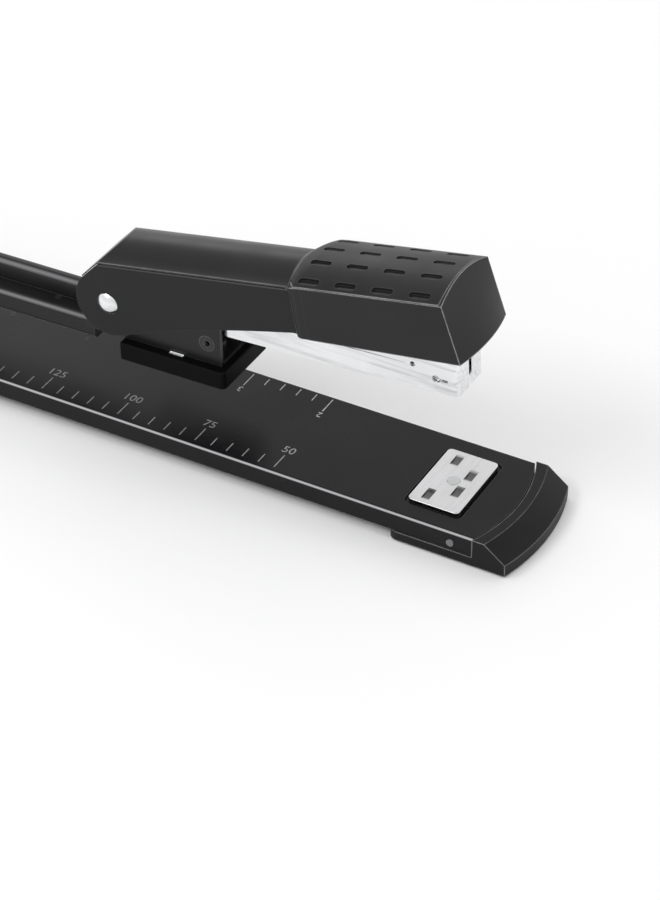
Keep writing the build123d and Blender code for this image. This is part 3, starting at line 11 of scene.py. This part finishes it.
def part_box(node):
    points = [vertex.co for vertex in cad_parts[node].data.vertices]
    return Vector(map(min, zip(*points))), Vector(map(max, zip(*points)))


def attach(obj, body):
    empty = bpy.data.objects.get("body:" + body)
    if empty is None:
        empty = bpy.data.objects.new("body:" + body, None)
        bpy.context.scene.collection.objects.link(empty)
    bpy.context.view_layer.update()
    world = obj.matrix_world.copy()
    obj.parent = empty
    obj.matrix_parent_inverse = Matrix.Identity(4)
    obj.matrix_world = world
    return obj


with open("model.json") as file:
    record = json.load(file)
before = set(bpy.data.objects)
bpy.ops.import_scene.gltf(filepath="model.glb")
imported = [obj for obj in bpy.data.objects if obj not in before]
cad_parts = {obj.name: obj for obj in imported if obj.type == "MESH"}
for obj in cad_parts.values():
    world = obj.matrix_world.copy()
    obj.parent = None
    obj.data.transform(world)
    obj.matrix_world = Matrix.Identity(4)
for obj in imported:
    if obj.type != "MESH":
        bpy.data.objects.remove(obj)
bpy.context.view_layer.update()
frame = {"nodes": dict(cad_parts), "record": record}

MM = 0.001
nodes = frame["nodes"]

# ---------------------------------------------------------------- places taken from the frame
_, BASE_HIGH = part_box("base_plate")
BASE_TOP = BASE_HIGH.z
ANVIL_LOW, ANVIL_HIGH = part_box("anvil_plate")
ANVIL_X = (ANVIL_LOW.x + ANVIL_HIGH.x) / 2
# below this height the anvil steel is darkened with painted shade, for its staple pockets and lower sides
ANVIL_SHADE_LEVEL = ANVIL_HIGH.z - 0.1 * MM
RULER_ZERO = ANVIL_X + 4.1 * MM
MAGAZINE_TILT = math.radians(3.1)
ARM_TILT = math.radians(1.2)

# ---------------------------------------------------------------- camera
CAMERA_AZIMUTH = math.radians(28.726)
CAMERA_ELEVATION = math.radians(37.082)
CAMERA_DISTANCE = 0.8104
CAMERA_TARGET = Vector((0.12763, -0.00302, BASE_TOP))
CAMERA_ROLL = math.radians(0.115)
CAMERA_LENS = 118.79
CAMERA_SENSOR = 36


def make_camera():
    """Three-quarter view from above the near side, turned towards the nose."""
    level = math.cos(CAMERA_ELEVATION)
    back = Vector((math.sin(CAMERA_AZIMUTH) * level, -math.cos(CAMERA_AZIMUTH) * level,
                   math.sin(CAMERA_ELEVATION)))
    data = bpy.data.cameras.new("camera")
    data.lens = CAMERA_LENS
    data.sensor_width = CAMERA_SENSOR
    data.clip_start = 0.01
    camera = bpy.data.objects.new("camera", data)
    bpy.context.scene.collection.objects.link(camera)
    camera.location = CAMERA_TARGET + back * CAMERA_DISTANCE
    roll = Matrix.Rotation(CAMERA_ROLL, 3, "Z").to_quaternion()
    camera.rotation_euler = (back.to_track_quat("Z", "Y") @ roll).to_euler()
    bpy.context.scene.camera = camera


make_camera()


# ---------------------------------------------------------------- node helpers
class Shader:
    """A principled material with a few shorthand calls for the nodes that feed it."""

    def __init__(self, name, **constants):
        self.material = bpy.data.materials.new(name)
        self.material.use_nodes = True
        self.tree = self.material.node_tree
        self.bsdf = self.tree.nodes["Principled BSDF"]
        for key, value in constants.items():
            self.bsdf.inputs[key.replace("_", " ")].default_value = value
        self.place = self.add("ShaderNodeTexCoord").outputs["Object"]

    def add(self, kind, **settings):
        node = self.tree.nodes.new(kind)
        for key, value in settings.items():
            setattr(node, key, value)
        return node

    def link(self, source, target):
        self.tree.links.new(source, target)

    def stretched(self, scale, turn=(0, 0, 0)):
        """Object coordinates, turned and scaled, for grain that runs one way."""
        node = self.add("ShaderNodeMapping")
        node.inputs["Scale"].default_value = scale
        node.inputs["Rotation"].default_value = turn
        self.link(self.place, node.inputs["Vector"])
        return node.outputs["Vector"]

    def noise(self, scale, detail=3.0, roughness=0.5, vector=None):
        node = self.add("ShaderNodeTexNoise")
        node.inputs["Scale"].default_value = scale
        node.inputs["Detail"].default_value = detail
        node.inputs["Roughness"].default_value = roughness
        self.link(vector or self.place, node.inputs["Vector"])
        return node.outputs["Fac"]

    def ramp(self, source, low, high, out_low, out_high):
        """Remaps a value between two limits."""
        node = self.add("ShaderNodeMapRange")
        node.inputs["From Min"].default_value = low
        node.inputs["From Max"].default_value = high
        node.inputs["To Min"].default_value = out_low
        node.inputs["To Max"].default_value = out_high
        self.link(source, node.inputs["Value"])
        return node.outputs["Result"]

    def mix(self, factor, first, second):
        """Mix of two colours, each a colour or an output."""
        node = self.add("ShaderNodeMix", data_type="RGBA")
        self.link(factor, node.inputs["Factor"])
        for value, socket in ((first, node.inputs["A"]), (second, node.inputs["B"])):
            if isinstance(value, bpy.types.NodeSocket):
                self.link(value, socket)
            else:
                socket.default_value = (*value, 1)
        return node.outputs["Result"]

    def worn_edge(self, amount, radius):
        """Pale edges, partly worn paint or plastic and partly painted highlight: zero on faces and up to
        amount at edges, where a rounded normal leaves the true one.
        """
        rounded = self.add("ShaderNodeBevel", samples=4)
        rounded.inputs["Radius"].default_value = radius
        flat = self.add("ShaderNodeNewGeometry")
        match = self.add("ShaderNodeVectorMath", operation="DOT_PRODUCT")
        self.link(rounded.outputs["Normal"], match.inputs[0])
        self.link(flat.outputs["True Normal"], match.inputs[1])
        edge = self.ramp(match.outputs["Value"], 0.98, 0.80, 0, amount)
        patch = self.ramp(self.noise(260, detail=4), 0.3, 0.6, 0.6, 1)
        return self.math("MULTIPLY", edge, patch)

    def math(self, operation, first, second=0.0):
        """A maths node on two values, each a number or an output."""
        node = self.add("ShaderNodeMath", operation=operation)
        for value, socket in ((first, node.inputs[0]), (second, node.inputs[1])):
            if isinstance(value, bpy.types.NodeSocket):
                self.link(value, socket)
            else:
                socket.default_value = value
        return node.outputs["Value"]

    def rolled_edge(self, amount):
        """Painted highlight along the middle of a long rounded edge, up to amount, zero on flat tops and
        sides; placed by the surface's direction.
        """
        parts = self.add("ShaderNodeSeparateXYZ")
        self.link(self.add("ShaderNodeTexCoord").outputs["Normal"], parts.inputs["Vector"])
        lean = self.math("ABSOLUTE", self.math("MULTIPLY", parts.outputs["Y"], parts.outputs["Z"]))
        return self.ramp(lean, 0.30, 0.48, 0, amount)

    def colour(self, source):
        self.link(source, self.bsdf.inputs["Base Color"])

    def rough(self, source):
        self.link(source, self.bsdf.inputs["Roughness"])

    def bump(self, height, strength, distance):
        node = self.add("ShaderNodeBump")
        node.inputs["Strength"].default_value = strength
        node.inputs["Distance"].default_value = distance
        self.link(height, node.inputs["Height"])
        self.link(node.outputs["Normal"], self.bsdf.inputs["Normal"])


# colours are linear, and widths of the worn and highlit edges and texture heights are in metres
# pale edge colours, partly worn paint or plastic and partly painted highlight
WORN_AND_HIGHLIT_PAINT = (0.22, 0.22, 0.22)
WORN_AND_HIGHLIT_PLASTIC = (0.42, 0.42, 0.43)
# colour of the painted highlight along long rounded edges
EDGE_HIGHLIGHT_COLOUR = (0.42, 0.42, 0.43)
DARK_STREAK = (0.12, 0.12, 0.12)
# colour of the painted shade in the anvil's staple pockets
PAINTED_SHADE = (0.03, 0.03, 0.03)
PAINT_WEAR_AND_HIGHLIGHT = 0.35 * MM
PLASTIC_WEAR_AND_HIGHLIGHT = 0.5 * MM
PEEL_HEIGHT = 0.04 * MM
GRAIN_HEIGHT = 0.05 * MM
BRUSH_HEIGHT = 0.03 * MM
# depth over which the painted shade in the anvil's pockets fades in
SHADE_FADE = 0.2 * MM


def enamel(name, colour, light, roughness, peel=0.1, gloss=0.3, highlight_amount=0.5, edge=0.6):
    """Sprayed enamel on steel: faint orange peel, handling haze, a painted highlight along long rounded
    edges, and pale edges that are partly paint thinned by wear and partly painted highlight.
    """
    s = Shader(name, Roughness=roughness, IOR=1.5, Specular_IOR_Level=gloss)
    haze = s.noise(38, detail=4)
    body = s.mix(s.ramp(haze, 0.3, 0.8, 0, 1), colour, light)
    # painted highlight: pale colour along long rounded edges in place of their reflection of the lights
    highlighted = s.mix(s.rolled_edge(highlight_amount), body, EDGE_HIGHLIGHT_COLOUR)
    # pale edges: partly wear, partly painted highlight
    s.colour(s.mix(s.worn_edge(edge, PAINT_WEAR_AND_HIGHLIGHT), highlighted, WORN_AND_HIGHLIT_PAINT))
    fine = s.noise(900, detail=2)
    s.rough(s.ramp(haze, 0.3, 0.7, roughness - 0.05, roughness + 0.07))
    s.bump(fine, peel, PEEL_HEIGHT)
    return s.material


def moulded(name, colour, light, roughness, grain=2600, depth=0.2, gloss=0.3, edge=0.8):
    """Moulded plastic with spark-eroded grain, slight colour drift, and pale edges that are partly rubbed and
    partly painted highlight.
    """
    s = Shader(name, Roughness=roughness, IOR=1.49, Specular_IOR_Level=gloss)
    drift = s.noise(55, detail=3)
    body = s.mix(s.ramp(drift, 0.3, 0.7, 0, 1), colour, light)
    # pale edges: partly rubbed plastic, partly painted highlight
    s.colour(s.mix(s.worn_edge(edge, PLASTIC_WEAR_AND_HIGHLIGHT), body, WORN_AND_HIGHLIT_PLASTIC))
    texture = s.noise(grain, detail=4, roughness=0.65)
    s.rough(s.ramp(drift, 0.3, 0.7, roughness - 0.05, roughness + 0.05))
    s.bump(texture, depth, GRAIN_HEIGHT)
    return s.material


def plated(name, colour, dull, roughness, brush=(40, 900, 900), turn=(0, 0, 0), depth=0.05, streak=0.0,
           shade_below=None):
    """Bright plated or brushed metal with drawn lines, a little tarnish, and painted shade on all that lies
    below a given height, such as the anvil's staple pockets.
    """
    s = Shader(name, Metallic=1.0, Roughness=roughness)
    lines = s.noise(1.0, detail=5, roughness=0.6, vector=s.stretched(brush, turn))
    cloud = s.noise(60, detail=3)
    plate = s.mix(s.ramp(cloud, 0.4, 0.75, 0, 1), colour, dull)
    plate = s.mix(s.ramp(lines, 0.52, 0.30, 0, streak), plate, DARK_STREAK)
    if shade_below:
        # painted shade: darker from the given height downwards, over the fade depth
        height = s.add("ShaderNodeSeparateXYZ")
        s.link(s.place, height.inputs["Vector"])
        shade_mask = s.ramp(height.outputs["Z"], shade_below, shade_below - SHADE_FADE, 0, 0.85)
        plate = s.mix(shade_mask, plate, PAINTED_SHADE)
    s.colour(plate)
    s.rough(s.ramp(lines, 0.3, 0.7, roughness * 0.7, roughness * 1.4))
    s.bump(lines, depth, BRUSH_HEIGHT)
    return s.material


def rubber(name, colour, light, roughness):
    """Matte rubber with a little dust."""
    s = Shader(name, Roughness=roughness, IOR=1.52, Sheen_Weight=0.15)
    dust = s.noise(90, detail=5, roughness=0.7)
    s.colour(s.mix(s.ramp(dust, 0.4, 0.8, 0, 1), colour, light))
    s.rough(s.ramp(dust, 0.3, 0.7, roughness - 0.06, roughness + 0.06))
    s.bump(s.noise(3000, detail=3), 0.12, GRAIN_HEIGHT)
    return s.material


# each enamel's pale line along long rounded edges is a painted highlight, strongest on the base
MATERIALS = {
    "black_paint": enamel("base_enamel", (0.005, 0.005, 0.006), (0.008, 0.008, 0.009), 0.27, gloss=0.18,
                          highlight_amount=0.95, edge=0.4),
    "arm_paint": enamel("arm_enamel", (0.008, 0.008, 0.009), (0.013, 0.013, 0.014), 0.34, gloss=0.26,
                        highlight_amount=0.30, edge=0.3),
    "handle_paint": enamel("handle_enamel", (0.008, 0.008, 0.009), (0.012, 0.012, 0.013), 0.42, peel=0.2,
                           gloss=0.22, highlight_amount=0.10, edge=0.2),
    "dark_rivet": enamel("blackened_steel", (0.015, 0.015, 0.016), (0.03, 0.03, 0.03), 0.35),
    "cap_plastic": moulded("cap_plastic", (0.006, 0.006, 0.007), (0.010, 0.010, 0.011), 0.45, gloss=0.18,
                           edge=0.7),
    "bumper_plastic": moulded("bumper_plastic", (0.002, 0.002, 0.002), (0.003, 0.003, 0.003), 0.5, gloss=0.06,
                              edge=0.1),
    "pusher_plastic": moulded("pusher_plastic", (0.02, 0.02, 0.02), (0.03, 0.03, 0.03), 0.4),
    "cover_gloss": moulded("cover_gloss", (0.007, 0.007, 0.008), (0.009, 0.009, 0.010), 0.32, grain=700,
                           depth=0.05, gloss=0.26, edge=0.35),
    "grip_plastic": moulded("grip_plastic", (0.011, 0.011, 0.012), (0.015, 0.015, 0.016), 0.42, gloss=0.23,
                            edge=1.0),
    "grip_rubber": moulded("grip_pad_plastic", (0.006, 0.006, 0.007), (0.010, 0.010, 0.011), 0.38, grain=1600,
                           depth=0.12, gloss=0.24, edge=0.15),
    "rubber": rubber("foot_rubber", (0.012, 0.012, 0.012), (0.03, 0.03, 0.03), 0.7),
    "raw_steel": plated("pressed_steel", (0.35, 0.35, 0.36), (0.25, 0.25, 0.25), 0.4),
    "zinc": plated("zinc_plate", (0.60, 0.61, 0.62), (0.48, 0.48, 0.47), 0.3, brush=(300, 300, 300)),
    "chrome": plated("bright_plate", (0.86, 0.87, 0.88), (0.74, 0.74, 0.75), 0.16, turn=(0, MAGAZINE_TILT, 0),
                     streak=0.35),
    # the anvil's staple pockets and lower sides get painted shade
    "anvil_steel": plated("anvil_steel", (0.70, 0.70, 0.71), (0.64, 0.64, 0.64), 0.3, brush=(900, 60, 900),
                          streak=0.12, shade_below=ANVIL_SHADE_LEVEL),
    "aged_zinc": plated("aged_zinc", (0.26, 0.26, 0.27), (0.12, 0.12, 0.12), 0.3, brush=(300, 300, 300)),
    "spring_steel": plated("spring_steel", (0.42, 0.42, 0.43), (0.3, 0.3, 0.3), 0.25, brush=(500, 500, 500)),
    # painted shade: the rail is darker than bright plated steel so that the magazine's keyhole, where it
    # shows through, reads as dark shade
    "rail_steel": plated("rail_steel", (0.20, 0.20, 0.21), (0.12, 0.12, 0.12), 0.4),
    "staple_wire": plated("staple_wire", (0.50, 0.50, 0.51), (0.4, 0.4, 0.4), 0.25, brush=(2000, 40, 40),
                          depth=0.4),
}

OWN_LOOK = {
    "nose_rivets": "aged_zinc",
    "rear_rivets": "aged_zinc",
    "anvil_rivet": "zinc",
    "arm_beam": "arm_paint",
    "head_bracket": "arm_paint",
}


def paint_frame():
    """Every CAD node takes the material of its slot, apart from the few that have a look of their own."""
    slots = {entry["node"]: entry["material_slot"] for entry in frame["record"]["subparts"]}
    for name, obj in nodes.items():
        look = OWN_LOOK.get(name, slots[name])
        for place in obj.material_slots:
            place.material = MATERIALS[look]


paint_frame()

# ---------------------------------------------------------------- broken edges on sheet metal and mouldings
EDGE_ANGLE = math.radians(40)
EDGE_WIDTHS = {
    "nose_cap": 0.3, "head_bracket": 0.15, "magazine_channel": 0.12, "handle_channel": 0.15, "top_cover": 0.1,
    "grip_housing": 0.35, "grip_pad": 0.15, "rear_bracket": 0.2, "arm_beam": 0.15, "base_plate": 0.1,
    "paper_stop": 0.3, "rear_cap": 0.2,
}


def soften_edges():
    """A small rounded edge on each piece that a press or a mould made."""
    for name, width in EDGE_WIDTHS.items():
        bevel = nodes[name].modifiers.new("broken_edge", "BEVEL")
        bevel.width = width * MM
        bevel.segments = 2
        bevel.limit_method = "ANGLE"
        bevel.angle_limit = EDGE_ANGLE
        bevel.harden_normals = True


soften_edges()


# ---------------------------------------------------------------- ruler marks
def mesh_object(name, build, material, body):
    """A new mesh piece: build fills a bmesh in the row frame."""
    mesh = bpy.data.meshes.new(name)
    bm = bmesh.new()
    build(bm)
    bm.to_mesh(mesh)
    bm.free()
    mesh.materials.append(material)
    piece = bpy.data.objects.new(name, mesh)
    bpy.context.scene.collection.objects.link(piece)
    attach(piece, body)


def ink(name, near, far, fade_from, fade_to):
    """Printed ruler ink: pale, a little broken, and dimmer towards the rear."""
    s = Shader(name, Roughness=0.5)
    along = s.add("ShaderNodeSeparateXYZ")
    s.link(s.place, along.inputs["Vector"])
    fade = s.ramp(along.outputs["X"], fade_to, fade_from, 0, 1)
    worn = s.noise(700, detail=3)
    bright = s.mix(fade, far, near)
    s.colour(s.mix(s.ramp(worn, 0.35, 0.6, 0.35, 0), bright, (0.05, 0.05, 0.05)))
    return s.material


INK_LIFT = 0.01 * MM
INK_HEIGHT = 0.04 * MM
TICK_WIDTH = 0.32 * MM


def tick(bm, x, y_from, y_to):
    """One raised ink stroke across the base, centred at x."""
    low, high = sorted((y_from, y_to))
    left, right = x - TICK_WIDTH / 2, x + TICK_WIDTH / 2
    bottom, top = BASE_TOP + INK_LIFT, BASE_TOP + INK_HEIGHT
    corners = [(left, low), (right, low), (right, high), (left, high)]
    lower = [bm.verts.new((px, py, bottom)) for px, py in corners]
    upper = [bm.verts.new((px, py, top)) for px, py in corners]
    bm.faces.new(upper)
    bm.faces.new(lower[::-1])
    for i in range(4):
        j = (i + 1) % 4
        bm.faces.new((lower[i], lower[j], upper[j], upper[i]))


MM_STEP = 5 * MM
MM_OUTER = -17.0 * MM
MM_SHORT = -13.2 * MM
MM_LONG = -11.1 * MM
MM_NUMBER = MM_LONG + 2.4 * MM
MM_NUMBER_SIZE = 4.0 * MM
INCH = 25.4 * MM
INCH_STEP = INCH / 5
INCH_OUTER = 17.7 * MM
INCH_SHORT = 14.6 * MM
INCH_LONG = 11.6 * MM
INCH_NUMBER = INCH_LONG - 1.8 * MM
INCH_NUMBER_SIZE = 3.2 * MM
RULER_REAR = -135 * MM
FIRST_MARK = 10
MARKS_PER_LONG = 5


def millimetre_ticks(bm):
    """Every 5 mm, longer every 25 mm, counted back from the staple line."""
    count = int((RULER_ZERO - RULER_REAR) / MM_STEP)
    for i in range(FIRST_MARK, count + 1):
        inner = MM_SHORT if i % MARKS_PER_LONG else MM_LONG
        tick(bm, RULER_ZERO - i * MM_STEP, MM_OUTER, inner)


def inch_ticks(bm):
    """Every fifth of an inch, longer every inch, along the far edge."""
    count = int((RULER_ZERO - RULER_REAR) / INCH_STEP)
    for i in range(FIRST_MARK, count + 1):
        inner = INCH_SHORT if i % MARKS_PER_LONG else INCH_LONG
        tick(bm, RULER_ZERO - i * INCH_STEP, INCH_OUTER, inner)


def numeral(text, x, y, size, turn, material, name):
    """A ruler number as a thin flat mesh, read from the side that turn gives."""
    curve = bpy.data.curves.new(name, "FONT")
    curve.body = text
    curve.size = size
    curve.align_x = "CENTER"
    curve.align_y = "CENTER"
    curve.resolution_u = 3
    curve.extrude = INK_HEIGHT / 2
    source = bpy.data.objects.new(name + "_curve", curve)
    bpy.context.scene.collection.objects.link(source)
    source.location = (x, y, BASE_TOP + INK_HEIGHT / 2 + INK_LIFT)
    source.rotation_euler = (0, 0, turn)
    bpy.context.view_layer.update()
    filled = source.evaluated_get(bpy.context.evaluated_depsgraph_get())
    mesh = bpy.data.meshes.new_from_object(filled)
    mesh.transform(source.matrix_world)
    bpy.data.objects.remove(source)
    mesh.materials.clear()
    mesh.materials.append(material)
    piece = bpy.data.objects.new(name, mesh)
    bpy.context.scene.collection.objects.link(piece)
    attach(piece, "base")


def ruler():
    """The near millimetre scale, and the far inch scale that fades to faint behind the head."""
    near_ink = ink("ruler_ink_near", (0.30, 0.30, 0.31), (0.10, 0.10, 0.11), 0.12, -0.10)
    far_ink = ink("ruler_ink_far", (0.50, 0.50, 0.51), (0.03, 0.03, 0.031), 0.095, 0.055)
    mesh_object("millimetre_marks", millimetre_ticks, near_ink, "base")
    mesh_object("inch_marks", inch_ticks, far_ink, "base")
    for value in range(50, 301, 25):
        numeral(str(value), RULER_ZERO - value * MM, MM_NUMBER, MM_NUMBER_SIZE, 0, near_ink,
                f"millimetre_number_{value}")
    for value in range(2, 12):
        numeral(str(value), RULER_ZERO - value * INCH, INCH_NUMBER, INCH_NUMBER_SIZE, math.pi, far_ink,
                f"inch_number_{value}")


ruler()


# ---------------------------------------------------------------- clips that hold the bumper to its bracket
CLIP_REAR = 81.2 * MM
CLIP_LENGTH = 4.5 * MM
CLIP_IN = 9.2 * MM
CLIP_OUT = 10.0 * MM
CLIP_THICK = 0.25 * MM


def bumper_clips(bm):
    """A thin lug on each side, turned out from the bracket's wall over the bumper's top."""
    _, bumper_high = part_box("head_bumper")
    top = bumper_high.z - (bumper_high.x - CLIP_REAR) * math.sin(ARM_TILT)
    foot = (CLIP_IN, CLIP_OUT, CLIP_THICK)
    upright = (CLIP_IN, CLIP_IN + CLIP_THICK, 2 * CLIP_THICK)
    for side in (1, -1):
        for low, high, rise in (foot, upright):
            lug = bmesh.ops.create_cube(bm, size=1)["verts"]
            middle = Vector((CLIP_REAR + CLIP_LENGTH / 2, side * (low + high) / 2, top + rise / 2))
            lean = Matrix.Rotation(-ARM_TILT, 4, "Y")
            size = Matrix.Diagonal((CLIP_LENGTH, high - low, rise, 1))
            bmesh.ops.transform(bm, matrix=Matrix.Translation(middle) @ lean @ size, verts=lug)
            edges = list(dict.fromkeys(e for v in lug for e in v.link_edges))
            bmesh.ops.bevel(bm, geom=edges, offset=CLIP_THICK / 4, segments=2, affect="EDGES")


mesh_object("bumper_clips", bumper_clips, MATERIALS["zinc"], "arm")


# ---------------------------------------------------------------- studio
FLOOR_HALF = 3.0
WORLD_STRENGTH = 0.95
LIGHT_TARGET = (0.1, 0, 0.03)


def floor_material():
    """Pale, almost even studio paper."""
    s = Shader("studio_floor", Roughness=0.9)
    s.colour(s.mix(s.noise(3, detail=1), (0.90, 0.90, 0.90), (0.92, 0.92, 0.92)))
    return s.material


def make_floor():
    """A flat square under the stapler, kept out of the part."""
    mesh = bpy.data.meshes.new("studio_floor")
    half = FLOOR_HALF
    corners = [(-half, -half, 0), (half, -half, 0), (half, half, 0), (-half, half, 0)]
    mesh.from_pydata(corners, [], [(0, 1, 2, 3)])
    mesh.materials.append(floor_material())
    floor = bpy.data.objects.new("studio_floor", mesh)
    bpy.context.scene.collection.objects.link(floor)


def area_light(name, place, size, power):
    """A rectangular soft box aimed at the middle of the stapler."""
    data = bpy.data.lights.new(name, "AREA")
    data.shape = "RECTANGLE"
    data.size, data.size_y = size
    data.energy = power
    light = bpy.data.objects.new(name, data)
    bpy.context.scene.collection.objects.link(light)
    light.location = place
    light.rotation_euler = (Vector(place) - Vector(LIGHT_TARGET)).to_track_quat("Z", "Y").to_euler()


def make_studio():
    """White surroundings, a key light from the near left and a weak fill from the far left."""
    world = bpy.data.worlds.new("studio")
    world.use_nodes = True
    background = world.node_tree.nodes["Background"]
    background.inputs["Color"].default_value = (1, 1, 1, 1)
    background.inputs["Strength"].default_value = WORLD_STRENGTH
    bpy.context.scene.world = world
    area_light("key", place=(-0.5, -0.9, 1.1), size=(0.9, 0.22), power=6)
    area_light("rear_fill", place=(-0.74, 0.98, 0.57), size=(0.4, 0.3), power=0.7)
    bpy.context.scene.view_settings.view_transform = "Standard"


make_floor()
make_studio()
